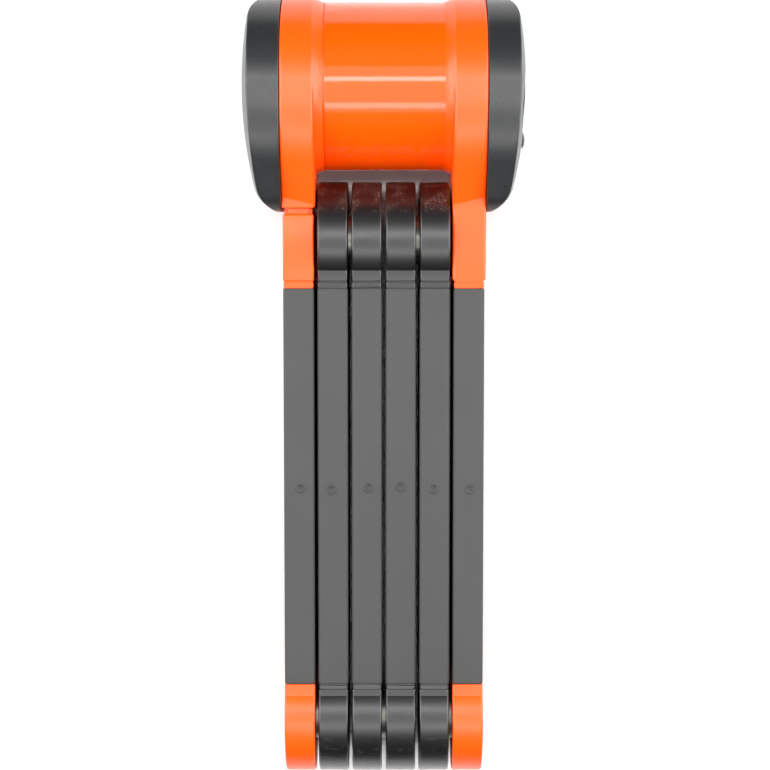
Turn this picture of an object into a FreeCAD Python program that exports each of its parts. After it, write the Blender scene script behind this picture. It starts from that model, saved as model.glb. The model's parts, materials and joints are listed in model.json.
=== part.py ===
import FreeCAD, Part

import math
import os

# Folding bicycle lock, folded up and lying on its back.
# X runs across the stack of links, +Y towards the lock barrel, +Z up. Millimetres.

# Whole lock
LINK_PITCH = 9.4              # side-by-side spacing of the folded links
MID_Z = 16.0                  # height of the links' middle plane above the floor
NEAR_PIVOT_Y = 42.5           # rivets beside the barrel
FAR_PIVOT_Y = -93.5           # rivets at the other end

# Links
END_RADIUS = 16.0             # round ends of the moulded covers
SLEEVE_HALF_WIDTH = 13.6
INNER_THICKNESS = 8.3         # links 2 to 5
OUTER_THICKNESS = 8.5         # links 1 and 6
BAR_THICKNESS = 5.0
BAR_HALF_WIDTH = 12.0
SLEEVE_TOP_Y = 29.2           # sleeve ends, where the covers begin
SLEEVE_BOTTOM_Y = -81.8
COVER_EDGE_ROUND = 0.8
SLEEVE_EDGE_ROUND = 1.0

# Rivets and spacer washers between neighbouring bars
RIVET_RADIUS = 4.0
RIVET_HOLE_RADIUS = 4.05
RIVET_HEAD_RADIUS = 6.8
RIVET_HEAD_HEIGHT = 1.3
WASHER_RADIUS = 7.0
COVER_HOLE_RADIUS = 7.3

# Barrel head
BARREL_Y = 84.9               # barrel axis
TUBE_RADIUS = 23.3
COLLAR_RADIUS = 24.6
TUBE_HALF_LENGTH = 16.3       # plain tube between the flared collars
FLARE_END_X = 19.5
COLLAR_END_X = 28.1           # seam between collar and end cap
CAP_APEX_X = 39.45
CAP_DOME_RADIUS = 120.0
CAP_PLAN_ROUND = 6.5          # corners of the cap seen from the front
CAP_CORNER_ROUND = 7.5
CAP_INSIDE_X = 34.4           # inner face of the hollow cap
CAP_STEP_X = 30.0             # the hollow narrows here, clear of the rounded corners
CAP_WALL = 2.4
CAP_NARROW_WALL = 5.0
COLLAR_DROP = 33.8            # barrel axis down to the collar's lower edge
CAP_DROP = 34.8               # barrel axis down to the cap's lower edge
LINK_1_DROP = 35.3            # barrel axis down to the top of link 1's cover
NECK_LENGTH = 1.4             # wide neck between the cover and the collar
TONGUE_LENGTH = 3.6           # narrower tongue that enters the collar's mouth
SLOPE_DROP = 14.0             # where the collar's front begins to slope in
SLOPE_ROUND = 35.0
LIP_DROP = 31.6               # where the collar's sloping front meets its upright lip
LIP_HALF_DEPTH = 14.5
TUBE_BACK_Z = 1.3
TUBE_BACK_ROUND = 12.0
BACK_ROUND = 13.0             # collars and caps, where the round meets the flat back
ARM_INNER_X = 18.9
ARM_HALF_WIDTH = 14.0

# Steel inside the barrel
CORE_RADIUS = 20.5
CORE_BACK_Z = 3.5
CORE_BACK_ROUND = 9.0
CORE_JOINT_X = -16.0          # where the socket block meets the lock core
ANCHOR_DROP = 16.0            # pin that stops link 6's eye from turning on the core
ANCHOR_RADIUS = 2.5
ANCHOR_START_X = 16.0
EYE_RADIUS = 19.0
SPIGOT_RADIUS = 13.0
FOOT_SLOT_WIDTH = 5.6
FOOT_SLOT_HALF_DEPTH = 12.3
FOOT_TIP_Y = BARREL_Y + 9.0

# Lock cylinder and cover over the keyway
SHAFT_RADIUS = 6.0
SHAFT_FLATS = 8.0             # across the flats that pass the foot's slot
CYLINDER_RADIUS = 9.95
CYLINDER_START_X = -4.0
CYLINDER_END_X = 34.3
RETAINING_X = 10.0            # pin across the cylinder, beside the rotor
RETAINING_OFFSET = 8.0
RETAINING_RADIUS = 1.5
ROTOR_RADIUS = 6.0
ROTOR_BORE_RADIUS = 4.6
ROTOR_SHOULDER_X = 33.0
NOSE_RADIUS = 5.2
NOSE_END_X = 36.2
RUNNING_GAP = 0.05
DISC_COUNT = 6
DISC_PITCH = 5.0
DISC_THICKNESS = 3.4
DISC_RADIUS = 4.5
DRIVE_BAR_HALF = (1.5, 3.8)   # in Y and Z
KEY_HOLE_RADIUS = 5.5
POCKET_FLOOR_X = 36.6
POCKET_GAP = 0.3
DUST_PIVOT_DROP = 14.75
DUST_COVER_RADIUS = 7.0
DUST_HUB_RADIUS = 3.4
DUST_ARM_HALF_WIDTH = 3.0
DUST_PIN_RADIUS = 1.5
DUST_HEAD_RADIUS = 2.35
DUST_HEAD_X = 38.7            # underside of the pivot's domed head
DUST_SWING_DEG = 55.0

X_AXIS = FreeCAD.Vector(1, 0, 0)


def link_x(number):
    """Middle plane of a link; link 1 is on the left, link 6 on the right."""
    return (number - 3.5) * LINK_PITCH


def box(x0, x1, y0, y1, z0, z1):
    return Part.makeBox(x1 - x0, y1 - y0, z1 - z0, FreeCAD.Vector(x0, y0, z0))


def rod(x0, x1, y, z, radius):
    """Cylinder along X."""
    return Part.makeCylinder(radius, x1 - x0, FreeCAD.Vector(x0, y, z), X_AXIS)


def rounded_wire(corners):
    """Closed flat outline through (point, rounding radius) corners."""
    points = [point for point, _ in corners]
    arcs = []
    for i, (point, radius) in enumerate(corners):
        to_last = (points[i - 1] - point).normalize()
        to_next = (points[(i + 1) % len(points)] - point).normalize()
        half_angle = to_last.getAngle(to_next) / 2
        reach = radius / math.tan(half_angle)
        middle = (to_last + to_next).normalize()
        bulge = point + middle * (radius / math.sin(half_angle) - radius)
        arcs.append((point + to_last * reach, bulge, point + to_next * reach))
    edges = []
    for i, (start, bulge, end) in enumerate(arcs):
        last_end = arcs[i - 1][2]
        if (start - last_end).Length > 1e-4:
            edges.append(Part.makeLine(last_end, start))
        edges.append(Part.Arc(start, bulge, end).toShape())
    return Part.Wire(Part.__sortEdges__(edges))


def upright_wire(x, corners):
    """Outline in the plane at x; each corner is (y, z, radius)."""
    return rounded_wire([(FreeCAD.Vector(x, y, z), radius) for y, z, radius in corners])


def prism(x0, x1, corners):
    return Part.Face(upright_wire(x0, corners)).extrude(FreeCAD.Vector(x1 - x0, 0, 0))


def barrel_outline(radius, back_z, back_round):
    """Round towards the front and sides, cut flat at the back."""
    top, bottom, front = BARREL_Y + radius, BARREL_Y - radius, MID_Z + radius
    return [(top, front, radius), (bottom, front, radius),
            (bottom, back_z, back_round), (top, back_z, back_round)]


def cap_outline(inset=0.0):
    """Round at the barrel, drawn down over the link ends."""
    radius = COLLAR_RADIUS - inset
    front = MID_Z + radius
    bottom = BARREL_Y - CAP_DROP + inset
    return [(BARREL_Y + radius, front, radius),
            (BARREL_Y - SLOPE_DROP, front, SLOPE_ROUND),
            (bottom, MID_Z + LIP_HALF_DEPTH - inset * 0.6, CAP_CORNER_ROUND - inset),
            (bottom, inset, CAP_CORNER_ROUND - inset),
            (BARREL_Y + radius, inset, BACK_ROUND - inset)]


def collar_outline():
    """The cap's outline, but ending in an upright lip round the link."""
    front = MID_Z + COLLAR_RADIUS
    lip_z = MID_Z + LIP_HALF_DEPTH
    return [(BARREL_Y + COLLAR_RADIUS, front, COLLAR_RADIUS),
            (BARREL_Y - SLOPE_DROP, front, SLOPE_ROUND),
            (BARREL_Y - LIP_DROP, lip_z, 0.8),
            (BARREL_Y - COLLAR_DROP, lip_z, 0.6),
            (BARREL_Y - COLLAR_DROP, 0.0, 4.0),
            (BARREL_Y + COLLAR_RADIUS, 0.0, BACK_ROUND)]


def mirrored(shape):
    return shape.mirror(FreeCAD.Vector(0, 0, 0), X_AXIS)


def save(name, shape):
    solid = shape.removeSplitter()
    if len(solid.Solids) != 1 or not solid.isValid():
        raise ValueError("%s is not one closed solid" % name)
    solid.Solids[0].exportStep("parts/%s.step" % name)


# ---------------------------------------------------------------- links

def bar_blank(x, y_top, half_thickness=BAR_THICKNESS / 2, grow=0.0):
    """Flat steel bar with a round far end and a square top end."""
    half_width = BAR_HALF_WIDTH + grow
    flat = box(x - half_thickness, x + half_thickness, FAR_PIVOT_Y, y_top,
               MID_Z - half_width, MID_Z + half_width)
    return flat.fuse(rod(x - half_thickness, x + half_thickness, FAR_PIVOT_Y, MID_Z, half_width))


def inner_bar(x, grow=0.0):
    """Bar with both ends round, for links 2 to 5."""
    half_thickness = BAR_THICKNESS / 2 + grow
    blank = bar_blank(x, NEAR_PIVOT_Y, half_thickness, grow)
    return blank.fuse(rod(x - half_thickness, x + half_thickness, NEAR_PIVOT_Y, MID_Z,
                          BAR_HALF_WIDTH + grow))


def edge_rounded_disc(x, y, thickness):
    disc = rod(x - thickness / 2, x + thickness / 2, y, MID_Z, END_RADIUS)
    rims = [edge for edge in disc.Edges if len(edge.Vertexes) == 1]
    return disc.makeFillet(COVER_EDGE_ROUND, rims)


def slab(x, y0, y1, thickness, half_width, edge_round):
    """Straight length of a cover or sleeve, long edges rounded."""
    block = box(x - thickness / 2, x + thickness / 2, y0, y1,
                MID_Z - half_width, MID_Z + half_width)
    long_edges = [edge for edge in block.Edges if edge.BoundBox.YLength > 1]
    return block.makeFillet(edge_round, long_edges)


def end_cover(x, pivot_y, sleeve_y, thickness, bar):
    """Moulded cover over one riveted end, open for the rivet heads and washer."""
    y0, y1 = sorted((pivot_y, sleeve_y))
    body = edge_rounded_disc(x, pivot_y, thickness)
    body = body.fuse(slab(x, y0, y1, thickness, SLEEVE_HALF_WIDTH, COVER_EDGE_ROUND))
    outer_end = pivot_y + math.copysign(END_RADIUS + 1, pivot_y - sleeve_y)
    y0, y1 = sorted((outer_end, sleeve_y))
    body = body.common(box(x - thickness, x + thickness, y0, y1, -1, 2 * MID_Z + 1))
    return body.cut(bar).cut(rod(x - 10, x + 10, pivot_y, MID_Z, COVER_HOLE_RADIUS))


def sleeve(x, thickness, bar):
    return slab(x, SLEEVE_BOTTOM_Y, SLEEVE_TOP_Y, thickness, SLEEVE_HALF_WIDTH,
                SLEEVE_EDGE_ROUND).cut(bar)


def rivet_hole(x, y):
    return rod(x - 4, x + 4, y, MID_Z, RIVET_HOLE_RADIUS)


def make_inner_links():
    for number in (2, 3, 4, 5):
        x = link_x(number)
        bar = inner_bar(x)
        thickness = INNER_THICKNESS
        save("link_%d_bar" % number,
             bar.cut(rivet_hole(x, NEAR_PIVOT_Y)).cut(rivet_hole(x, FAR_PIVOT_Y)))
        save("link_%d_upper_cover" % number,
             end_cover(x, NEAR_PIVOT_Y, SLEEVE_TOP_Y, thickness, bar))
        save("link_%d_lower_cover" % number,
             end_cover(x, FAR_PIVOT_Y, SLEEVE_BOTTOM_Y, thickness, bar))
        save("link_%d_sleeve" % number, sleeve(x, thickness + 0.1, bar))


def make_link_1():
    """Link 1 ends in a steel foot that plugs into the barrel's socket."""
    x = link_x(1)
    bar = bar_blank(x, FOOT_TIP_Y)
    tip_edges = [edge for edge in bar.Edges
                 if edge.BoundBox.YMin > FOOT_TIP_Y - 0.1 and edge.BoundBox.ZLength < 0.1]
    bar = bar.makeFillet(3.5, tip_edges)
    seat = rod(x - 4, x + 4, BARREL_Y, MID_Z, SHAFT_RADIUS + 0.2)
    slot = box(x - 4, x + 4, BARREL_Y, FOOT_TIP_Y + 1,
               MID_Z - SHAFT_FLATS / 2 - 0.15, MID_Z + SHAFT_FLATS / 2 + 0.15)
    save("link_1_bar", bar.cut(seat).cut(slot).cut(rivet_hole(x, FAR_PIVOT_Y)))

    cover_top = BARREL_Y - LINK_1_DROP
    cover = slab(x, SLEEVE_TOP_Y, cover_top, OUTER_THICKNESS, ARM_HALF_WIDTH, COVER_EDGE_ROUND)
    shoulder_edges = [edge for edge in cover.Edges
                      if edge.BoundBox.YMin > cover_top - 0.1 and edge.BoundBox.ZLength < 9]
    cover = cover.makeFillet(0.6, [edge for edge in shoulder_edges
                                   if edge.BoundBox.XLength > 4])
    neck = slab(x, SLEEVE_TOP_Y, cover_top + NECK_LENGTH, OUTER_THICKNESS - 0.6,
                BAR_HALF_WIDTH - 0.5, 0.5)
    tongue = slab(x, SLEEVE_TOP_Y, cover_top + TONGUE_LENGTH, BAR_THICKNESS + 0.8,
                  BAR_HALF_WIDTH + 0.6, 0.3)
    save("link_1_upper_cover", cover.fuse([neck, tongue]).cut(bar))
    save("link_1_lower_cover",
         end_cover(x, FAR_PIVOT_Y, SLEEVE_BOTTOM_Y, OUTER_THICKNESS, bar))
    save("link_1_sleeve", sleeve(x, OUTER_THICKNESS, bar))


def link_6_bar_solid():
    """Link 6 carries the barrel: its bar ends in an eye around the lock core."""
    x = link_x(6)
    bar = bar_blank(x, BARREL_Y)
    eye = rod(x - BAR_THICKNESS / 2, x + BAR_THICKNESS / 2, BARREL_Y, MID_Z, EYE_RADIUS)
    back_cut = box(x - 5, x + 5, BARREL_Y - 30, BARREL_Y + 30, -20, CORE_BACK_Z)
    return bar.fuse(eye.cut(back_cut))


def make_link_6():
    x = link_x(6)
    bar = link_6_bar_solid()
    spigot_hole = rod(x - 4, x + 4, BARREL_Y, MID_Z, SPIGOT_RADIUS + 0.02)
    pin_hole = rod(x - 4, x + 4, BARREL_Y - ANCHOR_DROP, MID_Z, ANCHOR_RADIUS)
    save("link_6_bar", bar.cut(spigot_hole).cut(pin_hole).cut(rivet_hole(x, FAR_PIVOT_Y)))
    save("link_6_lower_cover",
         end_cover(x, FAR_PIVOT_Y, SLEEVE_BOTTOM_Y, OUTER_THICKNESS, bar))
    save("link_6_sleeve", sleeve(x, OUTER_THICKNESS, bar))
    save("link_6_anchor_pin", rod(ANCHOR_START_X, x + BAR_THICKNESS / 2,
                                  BARREL_Y - ANCHOR_DROP, MID_Z, ANCHOR_RADIUS))


def make_rivets():
    """Each rivet is fixed in the higher-numbered bar and runs free in the other."""
    for number, pivot_y in ((1, FAR_PIVOT_Y), (2, NEAR_PIVOT_Y), (3, FAR_PIVOT_Y),
                            (4, NEAR_PIVOT_Y), (5, FAR_PIVOT_Y)):
        left_face = link_x(number) - BAR_THICKNESS / 2 - 0.1
        right_face = link_x(number + 1) + BAR_THICKNESS / 2
        shank = rod(left_face - 0.5, right_face + 0.5, pivot_y, MID_Z, RIVET_RADIUS)
        left_head = rod(left_face - RIVET_HEAD_HEIGHT, left_face, pivot_y, MID_Z,
                        RIVET_HEAD_RADIUS)
        right_head = rod(right_face, right_face + RIVET_HEAD_HEIGHT, pivot_y, MID_Z,
                         RIVET_HEAD_RADIUS)
        save("rivet_%d_%d" % (number, number + 1), shank.fuse([left_head, right_head]))

        gap_start = link_x(number) + BAR_THICKNESS / 2 + 0.1
        gap_end = link_x(number + 1) - BAR_THICKNESS / 2
        washer = rod(gap_start, gap_end, pivot_y, MID_Z, WASHER_RADIUS)
        save("washer_%d_%d" % (number, number + 1),
             washer.cut(rod(gap_start - 1, gap_end + 1, pivot_y, MID_Z, RIVET_HOLE_RADIUS)))


# ---------------------------------------------------------------- barrel head

def collar_solid(side):
    """Flare from the tube up to the collar, then the collar out to the end cap."""
    flare = Part.makeLoft(
        [upright_wire(side * TUBE_HALF_LENGTH, barrel_outline(TUBE_RADIUS, TUBE_BACK_Z, TUBE_BACK_ROUND)),
         upright_wire(side * FLARE_END_X, barrel_outline(COLLAR_RADIUS, 0.0, BACK_ROUND))],
        True, True)
    collar = prism(side * FLARE_END_X, side * COLLAR_END_X, collar_outline())
    return flare.fuse(collar)


def core_space(x0, x1):
    return prism(x0, x1, barrel_outline(CORE_RADIUS + 0.1, CORE_BACK_Z - 0.1, CORE_BACK_ROUND))


def make_barrel_housing():
    """Tube, right collar and the arm that holds link 6, in one moulding."""
    x = link_x(6)
    tube = prism(-TUBE_HALF_LENGTH, TUBE_HALF_LENGTH,
                 barrel_outline(TUBE_RADIUS, TUBE_BACK_Z, TUBE_BACK_ROUND))
    arm = box(ARM_INNER_X, COLLAR_END_X - 0.2, SLEEVE_TOP_Y, BARREL_Y - 15,
              MID_Z - ARM_HALF_WIDTH, MID_Z + ARM_HALF_WIDTH)
    arm = arm.makeFillet(COVER_EDGE_ROUND,
                         [edge for edge in arm.Edges if edge.BoundBox.YLength > 1])
    housing = tube.fuse([collar_solid(1), arm])
    housing = housing.cut(core_space(-TUBE_HALF_LENGTH - 1, COLLAR_END_X + 1))
    save("barrel_housing", housing.cut(link_6_bar_solid()))


def make_socket_collar():
    """Left collar, with the slot in its lower edge that link 1 plugs into."""
    x = link_x(1)
    space = core_space(-COLLAR_END_X - 1, -TUBE_HALF_LENGTH + 1)
    block_space = box(x - 3.95, x + 3.65, BARREL_Y - 30.9, BARREL_Y, MID_Z - 13.7, MID_Z + 13.7)
    mouth = slab(x, BARREL_Y - COLLAR_DROP - 1, BARREL_Y - 20, BAR_THICKNESS + 1.6,
                 BAR_HALF_WIDTH + 1.1, 0.5)
    save("socket_collar", collar_solid(-1).cut(space).cut(block_space).cut(mouth))


def make_socket_block():
    """Steel block with the slot for the foot and the bore for the locking shaft."""
    x = link_x(1)
    barrel_part = prism(-COLLAR_END_X + 0.2, CORE_JOINT_X,
                        barrel_outline(CORE_RADIUS, CORE_BACK_Z, CORE_BACK_ROUND))
    guide = box(x - 3.9, x + 3.6, BARREL_Y - 30.8, BARREL_Y, MID_Z - 13.6, MID_Z + 13.6)
    boss = rod(-32.5, -COLLAR_END_X + 0.5, BARREL_Y, MID_Z, 10.5)
    slot = box(x - FOOT_SLOT_WIDTH / 2, x + FOOT_SLOT_WIDTH / 2, BARREL_Y - 40,
               FOOT_TIP_Y + 0.7, MID_Z - FOOT_SLOT_HALF_DEPTH, MID_Z + FOOT_SLOT_HALF_DEPTH)
    bore = rod(-31.5, CORE_JOINT_X + 1, BARREL_Y, MID_Z, SHAFT_RADIUS + RUNNING_GAP)
    save("socket_block", barrel_part.fuse([guide, boss]).cut(slot).cut(bore))


def retaining_pin(length):
    """Upright pin that keeps the cylinder in the core."""
    return Part.makeCylinder(RETAINING_RADIUS, length, FreeCAD.Vector(
        RETAINING_X, BARREL_Y + RETAINING_OFFSET, MID_Z - 8))


def make_lock_core():
    """Steel core: bored for the cylinder, turned down at the right for link 6's eye."""
    eye_seat_x = link_x(6) - BAR_THICKNESS / 2
    core = prism(CORE_JOINT_X, eye_seat_x, barrel_outline(CORE_RADIUS, CORE_BACK_Z, CORE_BACK_ROUND))
    spigot = rod(eye_seat_x, COLLAR_END_X - 0.3, BARREL_Y, MID_Z, SPIGOT_RADIUS)
    spigot_back = box(eye_seat_x, COLLAR_END_X, BARREL_Y - 30, BARREL_Y + 30, -20, CORE_BACK_Z)
    core = core.fuse(spigot.cut(spigot_back))
    cylinder_bore = rod(-4.1, COLLAR_END_X, BARREL_Y, MID_Z, CYLINDER_RADIUS + RUNNING_GAP)
    shaft_bore = rod(CORE_JOINT_X - 1, 0, BARREL_Y, MID_Z, SHAFT_RADIUS + RUNNING_GAP)
    anchor_hole = rod(ANCHOR_START_X, COLLAR_END_X, BARREL_Y - ANCHOR_DROP, MID_Z, ANCHOR_RADIUS)
    save("lock_core", core.cut(cylinder_bore).cut(shaft_bore).cut(anchor_hole)
         .cut(retaining_pin(40)))


def cap_plan():
    """Upright prism that rounds the cap's corners as seen from the front."""
    top, bottom = BARREL_Y + COLLAR_RADIUS, BARREL_Y - CAP_DROP
    corners = [(COLLAR_END_X - 3, top, 0.5), (CAP_APEX_X - 2.15, top, CAP_PLAN_ROUND),
               (CAP_APEX_X + 0.45, BARREL_Y, 0.5), (CAP_APEX_X - 4.55, bottom, CAP_PLAN_ROUND),
               (COLLAR_END_X - 3, bottom, 0.5)]
    wire = rounded_wire([(FreeCAD.Vector(x, y, -1), radius) for x, y, radius in corners])
    return Part.Face(wire).extrude(FreeCAD.Vector(0, 0, 50))


def domed_cap():
    """Right-hand cap shell: domed end, eased rim, hollow towards the collar."""
    shell = prism(COLLAR_END_X, CAP_APEX_X + 1, cap_outline())
    dome = Part.makeSphere(CAP_DOME_RADIUS,
                           FreeCAD.Vector(CAP_APEX_X - CAP_DOME_RADIUS, BARREL_Y, MID_Z))
    shell = shell.common(dome).common(cap_plan())
    return (shell.cut(prism(COLLAR_END_X - 1, CAP_STEP_X, cap_outline(CAP_WALL)))
            .cut(prism(COLLAR_END_X - 1, CAP_INSIDE_X, cap_outline(CAP_NARROW_WALL))))


def dust_cover_plan(x0, x1, grow=0.0, swing_deg=0.0):
    """Disc over the keyway joined by an arm to its pivot, swung about the pivot."""
    pivot = FreeCAD.Vector(0, BARREL_Y - DUST_PIVOT_DROP, MID_Z)
    disc = rod(x0, x1, BARREL_Y, MID_Z, DUST_COVER_RADIUS + grow)
    hub = rod(x0, x1, pivot.y, MID_Z, DUST_HUB_RADIUS + grow)
    half_width = DUST_ARM_HALF_WIDTH + grow
    arm = box(x0, x1, pivot.y, BARREL_Y, MID_Z - half_width, MID_Z + half_width)
    plan = disc.fuse([hub, arm])
    plan.rotate(pivot, X_AXIS, swing_deg)
    return plan


def make_end_caps():
    cap = domed_cap()
    save("left_end_cap", mirrored(cap))

    swing_steps = 11
    pocket = dust_cover_plan(POCKET_FLOOR_X, CAP_APEX_X + 1, POCKET_GAP)
    for step in range(1, swing_steps + 1):
        pocket = pocket.fuse(dust_cover_plan(POCKET_FLOOR_X, CAP_APEX_X + 1, POCKET_GAP,
                                             step * DUST_SWING_DEG / swing_steps))
    key_hole = rod(COLLAR_END_X, CAP_APEX_X, BARREL_Y, MID_Z, KEY_HOLE_RADIUS)
    pivot_hole = rod(COLLAR_END_X, CAP_APEX_X, BARREL_Y - DUST_PIVOT_DROP, MID_Z,
                     DUST_PIN_RADIUS)
    save("right_end_cap", cap.cut(pocket).cut(key_hole).cut(pivot_hole))


def make_dust_cover():
    dome = Part.makeSphere(CAP_DOME_RADIUS - 0.2,
                           FreeCAD.Vector(CAP_APEX_X - CAP_DOME_RADIUS, BARREL_Y, MID_Z))
    plate = dust_cover_plan(POCKET_FLOOR_X + POCKET_GAP, CAP_APEX_X + 1).common(dome)
    pivot_y = BARREL_Y - DUST_PIVOT_DROP
    save("dust_cover", plate.cut(rod(30, 42, pivot_y, MID_Z, DUST_PIN_RADIUS + RUNNING_GAP)))

    shank = rod(CAP_INSIDE_X - 0.4, DUST_HEAD_X + 0.1, pivot_y, MID_Z, DUST_PIN_RADIUS)
    inner_head = rod(CAP_INSIDE_X - 1.2, CAP_INSIDE_X, pivot_y, MID_Z, 2.6)
    head_rim = rod(DUST_HEAD_X, DUST_HEAD_X + 0.1, pivot_y, MID_Z, DUST_HEAD_RADIUS)
    height = CAP_APEX_X - DUST_HEAD_X - 0.1
    ball_radius = (DUST_HEAD_RADIUS ** 2 + height ** 2) / (2 * height)
    ball = Part.makeSphere(ball_radius, FreeCAD.Vector(CAP_APEX_X - ball_radius, pivot_y, MID_Z))
    head_dome = ball.common(rod(DUST_HEAD_X + 0.1, CAP_APEX_X + 1, pivot_y, MID_Z,
                                DUST_HEAD_RADIUS))
    save("dust_cover_pivot", shank.fuse([inner_head, head_rim, head_dome]))


# ---------------------------------------------------------------- lock cylinder

def make_cylinder():
    y, z = BARREL_Y, MID_Z
    body = rod(CYLINDER_START_X, CYLINDER_END_X, y, z, CYLINDER_RADIUS)
    body = body.cut(rod(CYLINDER_START_X - 1, ROTOR_SHOULDER_X + 0.1, y, z,
                        ROTOR_RADIUS + RUNNING_GAP))
    body = body.cut(rod(ROTOR_SHOULDER_X, CYLINDER_END_X + 1, y, z, NOSE_RADIUS + 0.1))
    save("cylinder_body", body.cut(retaining_pin(40)))
    save("cylinder_retaining_pin", retaining_pin(25))

    rotor_start = CYLINDER_START_X + 0.1
    rotor = rod(rotor_start, ROTOR_SHOULDER_X, y, z, ROTOR_RADIUS)
    rotor = rotor.fuse(rod(ROTOR_SHOULDER_X, NOSE_END_X, y, z, NOSE_RADIUS))
    rotor = rotor.cut(rod(CYLINDER_START_X - 1, ROTOR_SHOULDER_X - 2, y, z, ROTOR_BORE_RADIUS))
    keyway = box(30.0, 37.0, y - 3.5, y + 3.5, z - 1.0, z + 1.0)
    sidebar_slot = box(2.0, 30.0, y - 0.8, y + 0.8, z + 3.0, z + 7.0)
    save("key_rotor", rotor.cut(keyway).cut(sidebar_slot))
    save("sidebar", box(2.1, 29.9, y - 0.75, y + 0.75, z + ROTOR_BORE_RADIUS, z + 5.8))

    for number in range(1, DISC_COUNT + 1):
        start = 1.0 + (number - 1) * DISC_PITCH
        disc = rod(start, start + DISC_THICKNESS, y, z, DISC_RADIUS)
        slot = box(start - 1, start + DISC_PITCH, y - 3.6, y + 3.6, z - 1.1, z + 1.1)
        save("locking_disc_%d" % number, disc.cut(slot))

    half_y, half_z = DRIVE_BAR_HALF
    tail = rod(rotor_start, 0.4, y, z, ROTOR_BORE_RADIUS - RUNNING_GAP)
    bar_slot = box(CYLINDER_START_X - 1, -1.0, y - half_y - RUNNING_GAP, y + half_y + RUNNING_GAP,
                   z - ROTOR_BORE_RADIUS, z + ROTOR_BORE_RADIUS)
    save("rotor_tail", tail.cut(bar_slot))
    save("drive_bar", box(-11.0, -1.1, y - half_y, y + half_y, z - half_z, z + half_z))


def make_locking_shaft():
    """Round in its bores, flattened where the foot straddles it."""
    y, z = BARREL_Y, MID_Z
    shaft = rod(-31.3, -5.0, y, z, SHAFT_RADIUS)
    flats_x0, flats_x1 = link_x(1) - 3.0, link_x(1) + 3.0
    for side in (-1, 1):
        edge_z = z + side * SHAFT_FLATS / 2
        z0, z1 = sorted((edge_z, edge_z + side * 5))
        shaft = shaft.cut(box(flats_x0, flats_x1, y - 10, y + 10, z0, z1))
    bar_slot = box(-11.1, -4.0, y - 1.55, y + 1.55, z - 3.85, z + 3.85)
    save("locking_shaft", shaft.cut(bar_slot))


os.makedirs("parts", exist_ok=True)
make_link_1()
make_inner_links()
make_link_6()
make_rivets()
make_barrel_housing()
make_socket_collar()
make_socket_block()
make_lock_core()
make_end_caps()
make_dust_cover()
make_cylinder()
make_locking_shaft()
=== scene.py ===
import json
import math

import bmesh
import bpy
import numpy as np
from bpy.props import FloatProperty, FloatVectorProperty, IntProperty, PointerProperty
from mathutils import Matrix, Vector


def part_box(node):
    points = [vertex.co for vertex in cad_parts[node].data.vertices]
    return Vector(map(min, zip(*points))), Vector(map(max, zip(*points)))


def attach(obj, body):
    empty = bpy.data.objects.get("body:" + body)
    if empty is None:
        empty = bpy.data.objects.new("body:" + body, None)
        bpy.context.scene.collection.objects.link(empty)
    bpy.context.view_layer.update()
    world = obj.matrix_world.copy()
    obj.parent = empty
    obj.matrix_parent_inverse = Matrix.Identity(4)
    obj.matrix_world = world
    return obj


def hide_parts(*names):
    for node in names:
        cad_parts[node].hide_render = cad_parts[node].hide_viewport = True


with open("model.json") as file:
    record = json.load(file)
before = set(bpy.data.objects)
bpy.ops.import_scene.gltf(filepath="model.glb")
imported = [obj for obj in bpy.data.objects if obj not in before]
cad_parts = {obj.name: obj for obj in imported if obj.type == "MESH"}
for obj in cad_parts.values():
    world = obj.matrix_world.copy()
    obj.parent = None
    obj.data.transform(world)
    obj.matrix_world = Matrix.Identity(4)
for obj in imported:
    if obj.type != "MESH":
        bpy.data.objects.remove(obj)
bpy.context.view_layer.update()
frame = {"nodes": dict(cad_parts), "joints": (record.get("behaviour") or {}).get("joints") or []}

bl_info = {
    "name": "Folding Bicycle Lock",
    "version": (1, 0, 0),
    "blender": (4, 5, 0),
    "location": "3D View > Sidebar > Lock",
    "description": "Builds the shells, link covers, sleeves and joint hardware of a folding lock",
    "category": "Add Mesh",
}

NODES = frame["nodes"]
MM = 0.001
LINKS = (1, 2, 3, 4, 5, 6)
INNER_LINKS = (2, 3, 4, 5)


# ------------------------------------------------------------- places from the frame

def middle(node):
    low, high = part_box(node)
    return (low + high) / 2


def half_size(node):
    low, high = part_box(node)
    return (high - low) / 2


BARREL = middle("key_rotor")
PIVOT_NEAR = middle("washer_2_3")
PIVOT_FAR = middle("washer_1_2")
COLLAR_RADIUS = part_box("left_end_cap")[1].z - BARREL.z
SEAM_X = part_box("right_end_cap")[0].x
CAP_DROP = BARREL.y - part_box("left_end_cap")[0].y
COLLAR_DROP = BARREL.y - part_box("socket_collar")[0].y
TUBE_END_X = -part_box("barrel_housing")[0].x
SLEEVE_LOW_Y, SLEEVE_HIGH_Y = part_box("link_2_sleeve")[0].y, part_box("link_2_sleeve")[1].y
ARM_HALF_DEPTH = half_size("link_1_upper_cover").z


def link_x(number):
    return middle("link_%d_sleeve" % number).x


def link_body(number):
    return "lock_body" if number == 6 else "link_%d" % number


# ------------------------------------------------------------- settings

def linear(code):
    """sRGB hex colour to the linear values that a shader takes."""
    parts = [int(code[i:i + 2], 16) / 255 for i in (1, 3, 5)]
    return tuple(c / 12.92 if c <= 0.04045 else ((c + 0.055) / 1.055) ** 2.4 for c in parts)


def length(name, description, default):
    return FloatProperty(name=name, description=description, default=default, unit="LENGTH")


def colour(name, description, code):
    return FloatVectorProperty(name=name, description=description, default=linear(code),
                               subtype="COLOR", min=0.0, max=1.0)


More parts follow.
